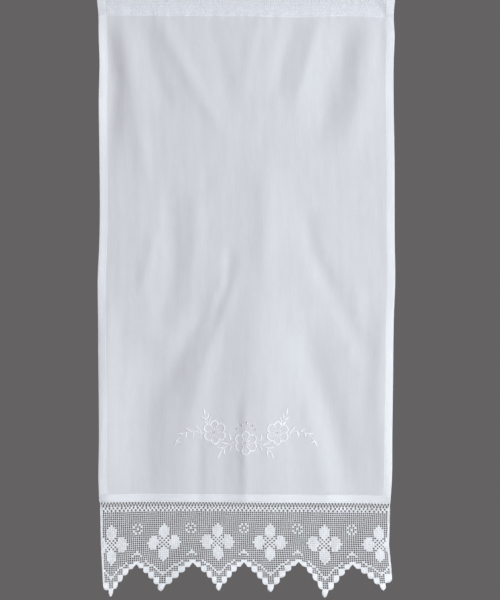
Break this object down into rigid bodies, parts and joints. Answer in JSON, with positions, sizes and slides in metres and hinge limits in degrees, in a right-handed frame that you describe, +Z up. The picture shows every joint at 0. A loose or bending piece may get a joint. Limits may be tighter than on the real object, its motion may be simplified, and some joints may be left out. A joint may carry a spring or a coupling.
{
  "type": "rod pocket curtain",
  "caption": "Short sheer cotton curtain hanging in soft folds, with a sewn sleeve along its top for a thin rod and a pointed filet crochet border along its foot.",
  "frame": {"origin": "middle of the curtain's top edge, on top of the fold that a rod carries", "axes": "X along the rod, -Y towards the room, +Z up"},
  "size_m": [0.5964, 0.0249, 1.2031],
  "materials": {
    "batiste": "sheer matt white cotton batiste",
    "batiste_doubled": "matt white cotton batiste in two layers",
    "crochet_cotton": "matt white crochet cotton"
  },
  "bodies": {
    "root": {"panel": "batiste", "rod_pocket": "batiste_doubled", "lace_border": "crochet_cotton"}
  },
  "joints": []
}
